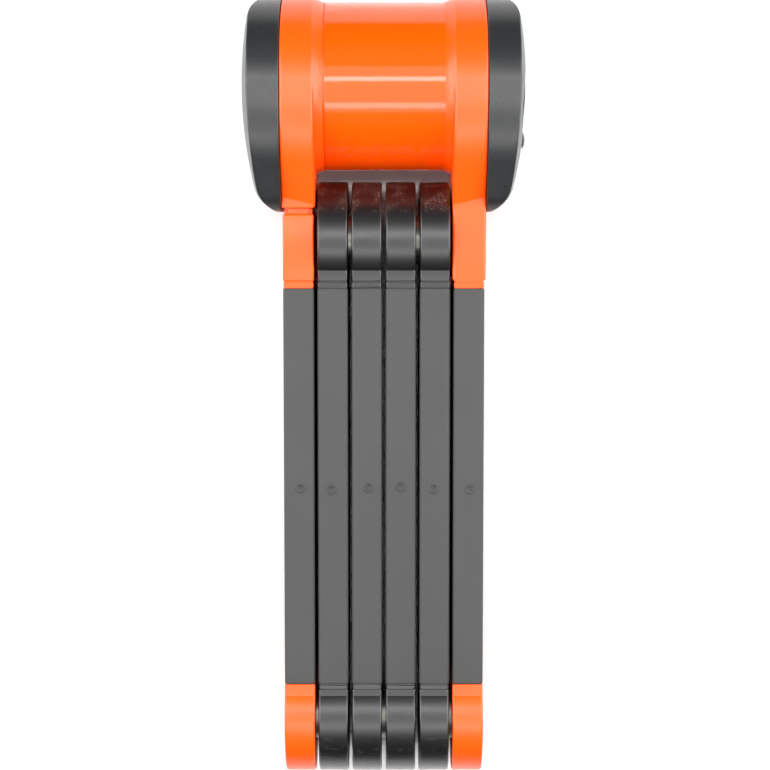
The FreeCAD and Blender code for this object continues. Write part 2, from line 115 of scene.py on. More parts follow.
class LockBarrelSizes(bpy.types.PropertyGroup):
    tube_radius: length("Tube radius", "Outside radius of the plain tube", 23.3 * MM)
    flare_length: length("Flare length", "Length of the flare from tube to collar", 4.2 * MM)
    arm_inner_x: length("Arm inner face", "Distance of the arms' inner faces from the middle",
                        18.9 * MM)
    slope_drop: length("Slope start", "Where the collar's front begins to slope, below the axis",
                       14.0 * MM)
    slope_round: length("Slope rounding", "Radius where the round front turns into the slope",
                        35 * MM)
    lip_drop: length("Lip start", "Where the sloping front meets the upright lip", 32.0 * MM)
    lip_slant: length("Lip slant", "How much higher the lip starts at its outer edge", 2.2 * MM)
    socket_depth: length("Socket half depth", "Half depth of the left collar's lip", 14.5 * MM)
    tube_back_round: length("Tube back rounding", "Rounding between the tube and its flat back",
                            12.5 * MM)
    back_round: length("Back rounding", "Rounding of the collars' and caps' backs", 13 * MM)
    mouth_half_x: length("Mouth half width", "Half width of the slot for link 1's foot",
                         3.35 * MM)
    mouth_half_z: length("Mouth half depth", "Half depth of the slot for link 1's foot",
                         13.1 * MM)
    room_half_x: length("Room half width", "Half width of the room for the steel block",
                        3.9 * MM)
    room_half_z: length("Room half depth", "Half depth of the room for the steel block",
                        13.75 * MM)
    cap_round: length("Cap corners", "Rounding of the end caps' corners in plan", 6.5 * MM)
    cap_corner: length("Cap foot corners", "Rounding of the end caps' lower corners", 7.5 * MM)
    cap_dome: length("Cap dome", "Radius of the end caps' domed face", 120.0 * MM)
    cap_edge: length("Cap edge", "Edge rounding between the cap's wall and its dome", 0.45 * MM)
    dust_hub: length("Dust cover hub", "Radius of the dust cover round its pivot", 3.4 * MM)
    key_hole: length("Key hole", "Radius of the hole for the key", 5.5 * MM)
    pocket_gap: length("Pocket gap", "Room round and under the dust cover", 0.3 * MM)


class LockLinkSizes(bpy.types.PropertyGroup):
    cover_edge: length("Cover edge", "Edge rounding of the end covers", 0.6 * MM)
    sleeve_edge: length("Sleeve edge", "Edge rounding of the sleeves", 0.9 * MM)
    near_band: length("Near band", "Length of the band at the barrel end of a sleeve", 1.9 * MM)
    far_band: length("Far band", "Length of the band at the other end of a sleeve", 1.4 * MM)
    flash: length("Flash", "Unevenness of the band's moulded edges", 0.07 * MM)
    groove: length("Groove", "Width and depth of the grooves beside the band", 0.32 * MM)
    cover_hole: length("Cover hole", "Radius of the hole round each rivet", 7.3 * MM)
    link_1_drop: length("Link 1 top", "Top of link 1's cover, below the barrel axis", 35.3 * MM)
    gate: length("Gate mark", "Distance of the gate mark from a sleeve's far end", 55.6 * MM)
    neck_half_x: length("Neck half width", "Half width of link 1's neck", 3.95 * MM)
    neck_half_z: length("Neck half depth", "Half depth of link 1's neck", 11.5 * MM)
    neck_length: length("Neck length", "Length of link 1's neck", 1.38 * MM)
    tongue_half_x: length("Tongue half width", "Half width of link 1's tongue", 2.9 * MM)
    tongue_half_z: length("Tongue half depth", "Half depth of link 1's tongue", 12.6 * MM)
    washer_edge: length("Washer edge", "Chamfer of the spacer washers", 0.3 * MM)
    washer_hole: length("Washer hole", "Radius of the spacer washers' holes", 4.1 * MM)
    rivet_head: length("Rivet head", "Thickness of the rivet heads", 1.3 * MM)
    rivet_dish: length("Rivet dish", "Depth of the dish in the rivet heads", 0.25 * MM)
    rivet_shank: length("Rivet shank", "Radius of the rivets' shanks", 4.0 * MM)
    segments: IntProperty(name="Segments", description="Segments round each turned shape",
                          default=144, min=24, max=360)


class LockColours(bpy.types.PropertyGroup):
    orange: colour("Orange", "Moulded collars, arms and outer covers", "#FA4F00")
    tube_orange: colour("Tube orange", "Lacquered tube", "#F84D00")
    cap_grey: colour("Cap grey", "Domed end caps", "#202122")
    cover_black: colour("Cover black", "Glossy link covers", "#0A0A0B")
    sleeve_grey: colour("Sleeve grey", "Matt link sleeves", "#343534")
    steel: colour("Steel", "Hardened bars and lock parts", "#8C8C8A")
    zinc: colour("Zinc", "Plated rivets and washers", "#A8A6A0")
    brass: colour("Brass", "Lock cylinder", "#C8A766")
    floor: colour("Floor", "Lit studio floor", "#DEDEDE")


def barrel_sizes():
    return bpy.context.scene.lock_barrel_sizes


def link_sizes():
    return bpy.context.scene.lock_link_sizes


def colours():
    return bpy.context.scene.lock_colours


# ------------------------------------------------------------- materials

def add_node(tree, kind, settings=None, links=None):
    """One node: settings go to attributes or unlinked inputs, links maps an input to a socket."""
    node = tree.nodes.new(kind)
    for name, value in (settings or {}).items():
        if isinstance(name, str) and hasattr(node, name):
            setattr(node, name, value)
        else:
            node.inputs[name].default_value = value
    for name, source in (links or {}).items():
        tree.links.new(source, node.inputs[name])
    return node


def start_material(name, settings):
    """New material with one Principled surface; returns material, tree, surface and places."""
    material = bpy.data.materials.new(name)
    material.use_nodes = True
    tree = material.node_tree
    tree.nodes.clear()
    surface = add_node(tree, "ShaderNodeBsdfPrincipled", settings)
    output = add_node(tree, "ShaderNodeOutputMaterial", links={"Surface": surface.outputs[0]})
    output.location = (300, 0)
    place = add_node(tree, "ShaderNodeTexCoord").outputs["Object"]
    return material, tree, surface, place


def noise(tree, place, size_mm, detail=4.0, roughness=0.55, stretch=None):
    """Noise whose blobs are about size_mm across; stretch lengthens them along one axis."""
    if stretch:
        place = add_node(tree, "ShaderNodeMapping", {"Scale": stretch},
                         {"Vector": place}).outputs[0]
    return add_node(tree, "ShaderNodeTexNoise",
                    {"Scale": 1 / (size_mm * MM), "Detail": detail, "Roughness": roughness},
                    {"Vector": place}).outputs[0]


def spread(tree, value, low, high, to_low, to_high):
    return add_node(tree, "ShaderNodeMapRange",
                    {"From Min": low, "From Max": high, "To Min": to_low, "To Max": to_high},
                    {"Value": value}).outputs[0]


def tint(tree, amount, base, other):
    mix = add_node(tree, "ShaderNodeMix", {"data_type": "RGBA"}, {0: amount})
    mix.inputs[6].default_value = (*base, 1)
    mix.inputs[7].default_value = (*other, 1)
    return mix.outputs[2]


def bump(tree, surface, height, distance_mm, strength=1.0, normal=None):
    links = {"Height": height}
    if normal:
        links["Normal"] = normal
    node = add_node(tree, "ShaderNodeBump", {"Strength": strength, "Distance": distance_mm * MM},
                    links)
    tree.links.new(node.outputs[0], surface.inputs["Normal"])
    return node.outputs[0]


def scaled(base, factor):
    return tuple(min(1.0, c * factor) for c in base)


def orange_polyamide():
    """Injection-moulded polyamide, satin: an even orange with a broad soft sheen."""
    base = tuple(colours().orange)
    material, tree, surface, place = start_material(
        "orange_moulded_polyamide", {"Roughness": 0.32, "IOR": 1.47})
    cloud = noise(tree, place, 14.0, 3.0)
    mottle = spread(tree, cloud, 0.35, 0.65, 0.0, 1.0)
    tree.links.new(tint(tree, mottle, base, scaled(base, 0.95)), surface.inputs["Base Color"])
    rub = noise(tree, place, 2.2, 5.0)
    tree.links.new(spread(tree, rub, 0.3, 0.7, 0.28, 0.36), surface.inputs["Roughness"])
    grain = noise(tree, place, 0.5, 3.0)
    bump(tree, surface, grain, 0.012, 0.5)
    return material


def orange_lacquer():
    """Sprayed gloss lacquer on the tube: the same orange under sharp, narrow reflections."""
    base = tuple(colours().tube_orange)
    material, tree, surface, place = start_material(
        "orange_sprayed_lacquer",
        {"Roughness": 0.09, "IOR": 1.5})
    cloud = noise(tree, place, 18.0, 2.0)
    mottle = spread(tree, cloud, 0.35, 0.65, 0.0, 1.0)
    tree.links.new(tint(tree, mottle, base, scaled(base, 0.96)), surface.inputs["Base Color"])
    ripple = noise(tree, place, 3.5, 2.0)
    bump(tree, surface, ripple, 0.02, 0.5)
    return material


def cap_polyamide():
    """Glass-filled polyamide, moulded: dark grey, satin, with a little settled dust."""
    base = tuple(colours().cap_grey)
    material, tree, surface, place = start_material(
        "dark_glass_filled_polyamide", {"Roughness": 0.3, "IOR": 1.5})
    dust_field = noise(tree, place, 0.45, 6.0, 0.7)
    patch = noise(tree, place, 6.0, 2.0)
    dust = add_node(tree, "ShaderNodeMath", {"operation": "MULTIPLY"},
                    {0: spread(tree, dust_field, 0.66, 0.76, 0.0, 1.0),
                     1: spread(tree, patch, 0.5, 0.68, 0.0, 0.5)}).outputs[0]
    tree.links.new(tint(tree, dust, base, linear("#8F8F8B")), surface.inputs["Base Color"])
    rub = noise(tree, place, 1.6, 5.0)
    tree.links.new(spread(tree, rub, 0.3, 0.7, 0.27, 0.36), surface.inputs["Roughness"])
    grain = noise(tree, place, 0.35, 4.0)
    bump(tree, surface, grain, 0.014, 0.6)
    return material


def cover_acetal():
    """Polished-mould acetal: black gloss with fine scuffs and specks of dust near the ends."""
    base = tuple(colours().cover_black)
    material, tree, surface, place = start_material(
        "black_moulded_acetal",
        {"Roughness": 0.33, "IOR": 1.5, "Coat Weight": 0.4, "Coat Roughness": 0.3})
    specks = noise(tree, place, 0.3, 4.0, 0.7)
    patch = noise(tree, place, 5.5, 2.0)
    along = add_node(tree, "ShaderNodeSeparateXYZ", links={0: place}).outputs["Y"]
    shoulder = spread(tree, along, PIVOT_NEAR.y + 7 * MM, PIVOT_NEAR.y + 10 * MM, 0.0, 1.0)
    upper = add_node(tree, "ShaderNodeMath", {"operation": "MULTIPLY"},
                     {0: shoulder, 1: spread(tree, patch, 0.46, 0.54, 0.0, 1.0)}).outputs[0]
    dust = add_node(tree, "ShaderNodeMath", {"operation": "MULTIPLY"},
                    {0: spread(tree, specks, 0.57, 0.62, 0.0, 0.9), 1: upper}).outputs[0]
    toe = spread(tree, along, PIVOT_FAR.y, PIVOT_FAR.y - 4 * MM, 0.0, 1.0)
    smear_field = noise(tree, place, 1.6, 5.0, 0.65, stretch=(0.6, 1.0, 1.0))
    smear = add_node(tree, "ShaderNodeMath", {"operation": "MULTIPLY"},
                     {0: spread(tree, smear_field, 0.56, 0.78, 0.0, 0.12), 1: toe}).outputs[0]
    marks = add_node(tree, "ShaderNodeMath", {"operation": "MAXIMUM"},
                     {0: dust, 1: smear}).outputs[0]
    tree.links.new(tint(tree, marks, base, linear("#9A948C")), surface.inputs["Base Color"])
    scuff = noise(tree, place, 1.5, 4.0, 0.6, stretch=(1.0, 0.4, 1.0))
    tree.links.new(spread(tree, scuff, 0.35, 0.75, 0.31, 0.36), surface.inputs["Roughness"])
    grain = noise(tree, place, 0.6, 3.0)
    bump(tree, surface, grain, 0.004, 0.4)
    return material


def sleeve_elastomer():
    """Spark-eroded elastomer sleeve: matt grey, fine grain, one gate mark in the middle."""
    base = tuple(colours().sleeve_grey)
    material, tree, surface, place = start_material(
        "grey_moulded_elastomer", {"Roughness": 0.62, "IOR": 1.48})
    cloud = noise(tree, place, 22.0, 3.0)
    mottle = spread(tree, cloud, 0.3, 0.7, 0.0, 1.0)
    body_colour = tint(tree, mottle, scaled(base, 1.04), scaled(base, 0.94))
    gate_place = add_node(tree, "ShaderNodeUVMap", {"uv_map": "gate"}).outputs[0]
    wobble = noise(tree, place, 0.7, 3.0)
    distance = add_node(tree, "ShaderNodeVectorMath", {"operation": "LENGTH"},
                        {0: gate_place}).outputs["Value"]
    uneven = add_node(tree, "ShaderNodeMath", {"operation": "MULTIPLY_ADD", 1: 0.8},
                      {0: wobble, 2: distance}).outputs[0]
    pit = spread(tree, uneven, 0.75, 1.15, 1.0, 0.0)
    ring_in = spread(tree, uneven, 1.2, 1.55, 0.0, 1.0)
    ring_out = spread(tree, uneven, 1.6, 2.1, 1.0, 0.0)
    ring = add_node(tree, "ShaderNodeMath", {"operation": "MULTIPLY"},
                    {0: ring_in, 1: ring_out}).outputs[0]
    shade = add_node(tree, "ShaderNodeMix", {"data_type": "RGBA"}, {0: pit, 6: body_colour})
    shade.inputs[7].default_value = (*linear("#2B2B2B"), 1)
    tree.links.new(shade.outputs[2], surface.inputs["Base Color"])
    relief = add_node(tree, "ShaderNodeMath", {"operation": "SUBTRACT"},
                      {0: ring, 1: pit}).outputs[0]
    gate_normal = bump(tree, surface, relief, 0.25, 0.8)
    grain = noise(tree, place, 0.4, 4.0)
    bump(tree, surface, grain, 0.03, 0.6, gate_normal)
    return material


def zinc_plate():
    """Bright zinc plate on turned steel: clean metal with faint turning marks."""
    material, tree, surface, place = start_material(
        "zinc_plated_turned_steel",
        {"Base Color": (*colours().zinc, 1), "Metallic": 1.0, "Roughness": 0.42})
    wear = noise(tree, place, 1.2, 5.0)
    tree.links.new(spread(tree, wear, 0.3, 0.7, 0.34, 0.5), surface.inputs["Roughness"])
    bump(tree, surface, noise(tree, place, 0.5, 3.0), 0.02, 0.8)
    return material


def tumbled_steel():
    """Stamped and tumbled hardened steel: dull grey metal with long fine scratches."""
    base = tuple(colours().steel)
    material, tree, surface, place = start_material(
        "tumbled_hardened_steel", {"Metallic": 1.0, "Roughness": 0.4})
    cloud = noise(tree, place, 5.0, 4.0)
    tree.links.new(tint(tree, spread(tree, cloud, 0.3, 0.7, 0.0, 1.0), base, scaled(base, 0.8)),
                   surface.inputs["Base Color"])
    scratches = noise(tree, place, 0.4, 3.0, 0.6, stretch=(1.0, 0.05, 1.0))
    tree.links.new(spread(tree, scratches, 0.3, 0.7, 0.32, 0.5), surface.inputs["Roughness"])
    bump(tree, surface, scratches, 0.02, 0.5)
    return material


def machined_brass():
    """Machined brass: warm yellow metal, satin from the cutter."""
    material, tree, surface, place = start_material(
        "machined_brass", {"Base Color": (*colours().brass, 1), "Metallic": 1.0,
                           "Roughness": 0.3})
    rub = noise(tree, place, 0.8, 4.0)
    tree.links.new(spread(tree, rub, 0.3, 0.7, 0.24, 0.38), surface.inputs["Roughness"])
    bump(tree, surface, rub, 0.01, 0.5)
    return material


FINISHES = {
    "orange": orange_polyamide,
    "tube": orange_lacquer,
    "cap": cap_polyamide,
    "black": cover_acetal,
    "sleeve": sleeve_elastomer,
    "zinc": zinc_plate,
    "steel": tumbled_steel,
    "brass": machined_brass,
}
MADE = {}


def finish(name):
    if name not in MADE:
        MADE[name] = FINISHES[name]()
    return MADE[name]


# ------------------------------------------------------------- mesh making

def piece_from(name, mesh, finish_name, body, *replaced):
    """Smooth-shaded object that rides on a body and stands for CAD nodes."""
    piece = bpy.data.objects.new(name, mesh)
    bpy.context.scene.collection.objects.link(piece)
    mesh.materials.append(finish(finish_name))
    mesh.shade_smooth()
    mesh.set_sharp_from_angle(angle=math.radians(38))
    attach(piece, body)
    if replaced:
        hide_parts(*replaced)
    return piece


def add_rings(mesh, rings, closed=False):
    """Skin over rings of points with equal counts; open ends get flat faces."""
    loops = [[mesh.verts.new(p) for p in ring] for ring in rings]
    pairs = list(zip(loops, loops[1:]))
    if closed:
        pairs.append((loops[-1], loops[0]))
    for one, two in pairs:
        for i in range(len(one)):
            j = (i + 1) % len(one)
            mesh.faces.new((one[i], one[j], two[j], two[i]))
    if not closed:
        mesh.faces.new(list(reversed(loops[0])))
        mesh.faces.new(loops[-1])
    return loops


def mesh_from(name, make):
    """New mesh filled by make(bmesh), with its normals turned outwards."""
    work = bmesh.new()
    make(work)
    bmesh.ops.recalc_face_normals(work, faces=work.faces)
    mesh = bpy.data.meshes.new(name)
    work.to_mesh(mesh)
    work.free()
    return mesh


def rounded_outline(corners, spacing=0.4 * MM):
    """Evenly spaced points (y, z) round a polygon with rounded corners (y, z, radius)."""
    points = [np.array(c[:2]) for c in corners]
    count = len(points)
    outline = []
    for i, (_, _, radius) in enumerate(corners):
        here = points[i]
        to_last = points[i - 1] - here
        to_next = points[(i + 1) % count] - here
        to_last /= np.linalg.norm(to_last)
        to_next /= np.linalg.norm(to_next)
        half = math.acos(max(-1.0, min(1.0, float(to_last @ to_next)))) / 2
        reach = radius / math.tan(half)
        bisector = (to_last + to_next) / np.linalg.norm(to_last + to_next)
        centre = here + bisector * (radius / math.sin(half))
        start, end = here + to_last * reach, here + to_next * reach
        angle_0 = math.atan2(*(start - centre)[::-1])
        turn = math.atan2(*(end - centre)[::-1]) - angle_0
        turn = (turn + math.pi) % (2 * math.pi) - math.pi
        steps = max(3, int(abs(turn) * radius / spacing))
        for k in range(steps + 1):
            a = angle_0 + turn * k / steps
            outline.append(centre + radius * np.array((math.cos(a), math.sin(a))))
        next_corner = corners[(i + 1) % count]
        next_half = corner_half_angle(points, (i + 1) % count)
        next_start = points[(i + 1) % count] - to_next * (next_corner[2] / math.tan(next_half))
        run = next_start - end
        straight = max(1, int(np.linalg.norm(run) / spacing))
        for k in range(1, straight):
            outline.append(end + run * k / straight)
    return outline


def corner_half_angle(points, i):
    to_last = points[i - 1] - points[i]
    to_next = points[(i + 1) % len(points)] - points[i]
    cosine = float(to_last @ to_next) / (np.linalg.norm(to_last) * np.linalg.norm(to_next))
    return math.acos(max(-1.0, min(1.0, cosine))) / 2


HEAD_POINTS = 720
HEAD_ANGLES = np.linspace(-math.pi, math.pi, HEAD_POINTS, endpoint=False)


def reach_round_axis(corners):
    """Distance of an outline from the barrel axis at each of the head's angles."""
    outline = np.array(rounded_outline(corners))
    angle = np.arctan2(outline[:, 1], outline[:, 0])
    order = np.argsort(angle)
    return np.interp(HEAD_ANGLES, angle[order], np.hypot(*outline[order].T), period=2 * math.pi)


def head_ring(x, reach):
    return [Vector((x, BARREL.y + r * math.cos(a), BARREL.z + r * math.sin(a)))
            for r, a in zip(reach, HEAD_ANGLES)]


def barrel_corners(radius, back):
    """Tube section about the barrel axis: round, with a flat back."""
    back_round = barrel_sizes().tube_back_round
    return [(radius, radius, radius), (-radius, radius, radius),
            (-radius, -back, back_round), (radius, -back, back_round)]


def collar_corners(inset, lip_drop, bottom_drop, lip_depth):
    """Collar section about the barrel axis: round, sloping in to an upright lip."""
    sizes = barrel_sizes()
    radius = COLLAR_RADIUS - inset
    back = BARREL.z - inset
    return [(radius, radius, radius),
            (-sizes.slope_drop, radius, sizes.slope_round),
            (-lip_drop, lip_depth - inset, 0.8 * MM),
            (-bottom_drop + inset, lip_depth - inset, 0.5 * MM),
            (-bottom_drop + inset, -lip_depth + inset, 0.5 * MM),
            (-lip_drop - 0.5 * MM, -lip_depth + inset, 0.8 * MM),
            (-lip_drop + 6 * MM, -back, 5 * MM),
            (radius, -back, sizes.back_round)]


def smooth_step(t):
    t = max(0.0, min(1.0, t))
    return t * t * (3 - 2 * t)


def collar_rings(bottom_drop, lip_depth, eased_start=False):
    """Rings from the tube's end through the flare and the inner wall to the cap seam."""
    sizes = barrel_sizes()
    rings = []

    def section(x, inset, lip_inset=None):
        share = smooth_step((x - TUBE_END_X) / sizes.flare_length)
        radius = sizes.tube_radius + (COLLAR_RADIUS - sizes.tube_radius) * share
        back = BARREL.z - (COLLAR_RADIUS - sizes.tube_radius) * (1 - share)
        reach = reach_round_axis(barrel_corners(radius - inset, back - inset))
        if lip_inset is not None:
            along = (x - sizes.arm_inner_x) / (SEAM_X - sizes.arm_inner_x)
            lip = sizes.lip_drop + sizes.lip_slant * (0.5 - along)
            collar = reach_round_axis(collar_corners(lip_inset, lip, bottom_drop, lip_depth))
            reach = np.maximum(reach, collar)
        rings.append(head_ring(x, reach))

    wall = sizes.arm_inner_x
    for x, inset in ((0.02, 0.3), (0.1, 0.1), (0.3, 0.0)) if eased_start else ((0.3, 0.0),):
        section(TUBE_END_X + x * MM, inset * MM)
    for k in range(1, 8):
        section(TUBE_END_X + 0.3 * MM + (wall - TUBE_END_X - 0.3 * MM) * k / 7, 0.0)
    for x, inset in ((0.0, 0.8), (0.08, 0.5), (0.25, 0.25), (0.5, 0.08), (0.8, 0.0)):
        section(wall + x * MM, 0.0, inset * MM)
    for k in range(1, 6):
        section(wall + 0.8 * MM + (SEAM_X - wall - 2.0 * MM) * k / 5, 0.0, 0.0)
    for x, inset in ((0.55, 0.06), (0.25, 0.2), (0.08, 0.42), (0.02, 0.8)):
        section(SEAM_X - x * MM, inset * MM, inset * MM)
    return rings


def mirror_x(points):
    return [Vector((-p.x, p.y, p.z)) for p in points]


def straight_rings(x, y_stations, half_x, half_z, corner, points_per_corner=8):
    """Rounded-rectangle rings along Y; each station is (y, inset)."""
    rings = []
    for y, inset in y_stations:
        ring = []
        for sign_x, sign_z, start in ((1, 1, 0), (-1, 1, 90), (-1, -1, 180), (1, -1, 270)):
            for k in range(points_per_corner + 1):
                a = math.radians(start + 90 * k / points_per_corner)
                round_by = max(corner - inset, 0.15 * MM)
                ring.append(Vector((
                    x + sign_x * (half_x - inset - round_by) + round_by * math.cos(a), y,
                    BARREL.z + sign_z * (half_z - inset - round_by) + round_by * math.sin(a))))
        rings.append(ring)
    return rings


def turned_rings(centre, profile, segments):
    """Rings round the X axis through centre; profile is (x, radius) pairs."""
    return [[Vector((x, centre.y + r * math.cos(a), centre.z + r * math.sin(a)))
             for a in (2 * math.pi * k / segments for k in range(segments))]
            for x, r in profile]


def rounded_disc_profile(x, half, radius, hole, edge):
    """Profile of a holed disc: rounded rim, lightly eased hole."""
    ease = 0.25 * MM
    profile = [(x - half + ease, hole), (x - half, hole + ease)]
    for k in range(9):
        a = math.radians(90 * k / 8)
        profile.append((x - half + edge - edge * math.cos(a),
                        radius - edge + edge * math.sin(a)))
    for k in range(9):
        a = math.radians(90 * k / 8)
        profile.append((x + half - edge + edge * math.sin(a),
                        radius - edge + edge * math.cos(a)))
    return profile + [(x + half, hole + ease), (x + half - ease, hole)]


def cut_with(piece, cutters):
    """Subtracts closed cutter meshes from a piece for good."""
    for i, mesh in enumerate(cutters):
        cutter = bpy.data.objects.new("cutter_%d" % i, mesh)
        bpy.context.scene.collection.objects.link(cutter)
        tool = piece.modifiers.new("cut_%d" % i, "BOOLEAN")
        tool.object = cutter
        tool.solver = "EXACT"
        bpy.context.view_layer.update()
        graph = bpy.context.evaluated_depsgraph_get()
        result = bpy.data.meshes.new_from_object(piece.evaluated_get(graph))
        piece.modifiers.clear()
        piece.data = result
        bpy.data.objects.remove(cutter)
    piece.data.shade_smooth()
    piece.data.set_sharp_from_angle(angle=math.radians(32))


# ------------------------------------------------------------- barrel

class LOCK_OT_barrel_housing(bpy.types.Operator):
    """Orange tube, right collar and the arm that carries link 6"""
    bl_idname = "lock.barrel_housing"
    bl_label = "Barrel housing"

    def execute(self, context):
        sizes = barrel_sizes()
        arm_drop = BARREL.y - (SLEEVE_HIGH_Y + link_sizes().near_band)
        tube = []
        for k, inset in ((0.0, 0.35), (0.06, 0.15), (0.2, 0.03), (0.5, 0.0)):
            tube.append((-TUBE_END_X + k * MM, inset * MM))
        tube += [(x * MM, 0.0) for x in (-12, -8, -4, 0, 4, 8, 12)]
        back = BARREL.z - (COLLAR_RADIUS - sizes.tube_radius)
        rings = [head_ring(x, reach_round_axis(
            barrel_corners(sizes.tube_radius - inset, back - inset))) for x, inset in tube]
        rings += collar_rings(arm_drop, ARM_HALF_DEPTH)
        mesh = mesh_from("barrel_housing_shell", lambda work: add_rings(work, rings))
        piece = piece_from("barrel_housing_shell", mesh, "orange", "lock_body", "barrel_housing")
        mesh.materials.append(finish("tube"))
        for face in mesh.polygons:
            if face.center.x < TUBE_END_X and abs(face.normal.x) < 0.5:
                face.material_index = 1
        end_band(6, SLEEVE_HIGH_Y, 1, ARM_HALF_DEPTH, "arm_end_band", "orange")
        return {"FINISHED"}


class LOCK_OT_socket_collar(bpy.types.Operator):
    """Left collar with the mouth that link 1 plugs into"""
    bl_idname = "lock.socket_collar"
    bl_label = "Socket collar"

    def execute(self, context):
        sizes = barrel_sizes()
        rings = [mirror_x(ring) for ring in collar_rings(COLLAR_DROP, sizes.socket_depth, True)]
        mesh = mesh_from("socket_collar_shell", lambda work: add_rings(work, rings))
        piece = piece_from("socket_collar_shell", mesh, "orange", "lock_body", "socket_collar")
        x = link_x(1)
        low = BARREL.y - COLLAR_DROP
        mouth = straight_rings(x, [(low - 2 * MM, 0.0), (BARREL.y - 24 * MM, 0.0)],
                               sizes.mouth_half_x, sizes.mouth_half_z, 0.6 * MM)
        mouth_mesh = mesh_from("mouth", lambda work: add_rings(work, mouth))
        room = straight_rings(x - 0.15 * MM, [(BARREL.y - 31 * MM, 0.0),
                                              (BARREL.y - 18 * MM, 0.0)],
                              sizes.room_half_x, sizes.room_half_z, 0.3 * MM)
        room_mesh = mesh_from("room", lambda work: add_rings(work, room))
        cut_with(piece, [mouth_mesh, room_mesh])
        return {"FINISHED"}


def cap_corners(inset=0.0):
    sizes = barrel_sizes()
    radius = COLLAR_RADIUS - inset
    depth = sizes.socket_depth - 0.6 * inset
    corner, back_round = sizes.cap_corner - inset, sizes.back_round - inset
    return [(radius, radius, radius),
            (-sizes.slope_drop, radius, sizes.slope_round),
            (-CAP_DROP + inset, depth, corner),
            (-CAP_DROP + inset, -BARREL.z + inset, corner),
            (radius, -BARREL.z + inset, back_round)]


def cap_face_x(reach):
    """Height of the domed end face, with the plan's rounded corners, at each angle's reach."""
    sizes = barrel_sizes()
    apex = -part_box("left_end_cap")[0].x
    across = reach * np.cos(HEAD_ANGLES)
    edge = np.minimum(COLLAR_RADIUS - across, CAP_DROP + across)
    inside = np.clip(sizes.cap_round - edge, 0.0, sizes.cap_round)
    rounding = sizes.cap_round - np.sqrt(sizes.cap_round ** 2 - inside ** 2)
    return apex - sizes.cap_dome + np.sqrt(sizes.cap_dome ** 2 - reach ** 2) - rounding


def cap_rings():
    """Rings of the right-hand cap from the seam over the rim to the middle of the dome."""
    rings = []

    def ring(x, reach):
        rings.append([Vector((xx, BARREL.y + r * math.cos(a), BARREL.z + r * math.sin(a)))
                      for xx, r, a in zip(np.broadcast_to(x, reach.shape), reach, HEAD_ANGLES)])

    outer = reach_round_axis(cap_corners())
    for x, inset in ((0.02, 0.5), (0.08, 0.25), (0.18, 0.1), (0.32, 0.0)):
        ring(SEAM_X + x * MM, reach_round_axis(cap_corners(inset * MM)))
    ease = barrel_sizes().cap_edge
    start = SEAM_X + 0.32 * MM
    wall_end = np.maximum(cap_face_x(outer - ease) - ease, start + 0.05 * MM)
    for k in range(1, 6):
        ring(start + (wall_end - start) * k / 5, outer)
    for k in range(1, 5):
        a = math.radians(90 * k / 5)
        reach = outer - ease * (1 - math.cos(a))
        face = cap_face_x(outer - ease)
        ring(wall_end + (face - wall_end) * math.sin(a), reach)
    for share in (0.0, 0.002, 0.005, 0.01, 0.018, 0.03, 0.045, 0.065, 0.09, 0.12, 0.16, 0.21, 0.27,
                  0.34, 0.42, 0.51, 0.6, 0.7, 0.8, 0.9, 0.97):
        reach = (outer - ease) * (1 - share)
        ring(cap_face_x(reach), reach)
    return rings


def dust_cover_room(grow):
    """Fan-shaped plan, about the pivot, that the dust cover sweeps."""
    pivot = middle("dust_cover_pivot")
    swing = max(j["range_deg"][1] for j in frame["joints"] if j["name"] == "dust_cover_swing")
    swing = math.radians(swing)
    disc = half_size("dust_cover").z + grow
    hub = barrel_sizes().dust_hub + grow
    arm = BARREL.y - pivot.y
    centre = (pivot.y + arm * math.cos(swing), pivot.z + arm * math.sin(swing))
    plan = []

    def arc(y, z, radius, start, end, steps=16):
        for k in range(steps + 1):
            a = start + (end - start) * k / steps
            plan.append((y + radius * math.cos(a), z + radius * math.sin(a)))

    arc(pivot.y, pivot.z, hub, -math.pi / 2, swing - 1.5 * math.pi)
    arc(*centre, disc, swing + math.pi / 2, swing)
    arc(pivot.y, pivot.z, arm + disc, swing * 0.96, swing * 0.04, 22)
    arc(BARREL.y, BARREL.z, disc, 0.0, -math.pi / 2)
    return plan


class LOCK_OT_end_caps(bpy.types.Operator):
    """Domed dark caps; the right one has the keyway and the dust cover's pocket"""
    bl_idname = "lock.end_caps"
    bl_label = "End caps"

    def execute(self, context):
        rings = cap_rings()
        mirrored = [mirror_x(ring) for ring in rings]
        left = mesh_from("left_cap_shell", lambda work: add_rings(work, mirrored))
        piece = piece_from("left_cap_shell", left, "cap", "lock_body", "left_end_cap")
        right = mesh_from("right_cap_shell", lambda work: add_rings(work, rings))
        piece = piece_from("right_cap_shell", right, "cap", "lock_body", "right_end_cap")
        gap = barrel_sizes().pocket_gap
        floor_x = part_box("dust_cover")[0].x - gap
        plan = dust_cover_room(gap)
        pocket = [[Vector((x, y, z)) for y, z in plan] for x in (floor_x, floor_x + 5 * MM)]
        pocket_mesh = mesh_from("pocket", lambda work: add_rings(work, pocket))
        radius = barrel_sizes().key_hole
        hole = turned_rings(BARREL, [(floor_x - 3 * MM, radius), (floor_x + 3 * MM, radius)], 72)
        hole_mesh = mesh_from("key_hole", lambda work: add_rings(work, hole))
        cut_with(piece, [pocket_mesh, hole_mesh])
        return {"FINISHED"}


class LOCK_OT_dust_cover(bpy.types.Operator):
    """Dust cover over the keyway and its domed pivot"""
    bl_idname = "lock.dust_cover"
    bl_label = "Dust cover"

    def execute(self, context):
        for node in ("dust_cover", "dust_cover_pivot"):
            dress(node, "cap")
        return {"FINISHED"}


# ------------------------------------------------------------- links

def band_length(towards):
    sizes = link_sizes()
    return sizes.near_band if towards > 0 else sizes.far_band


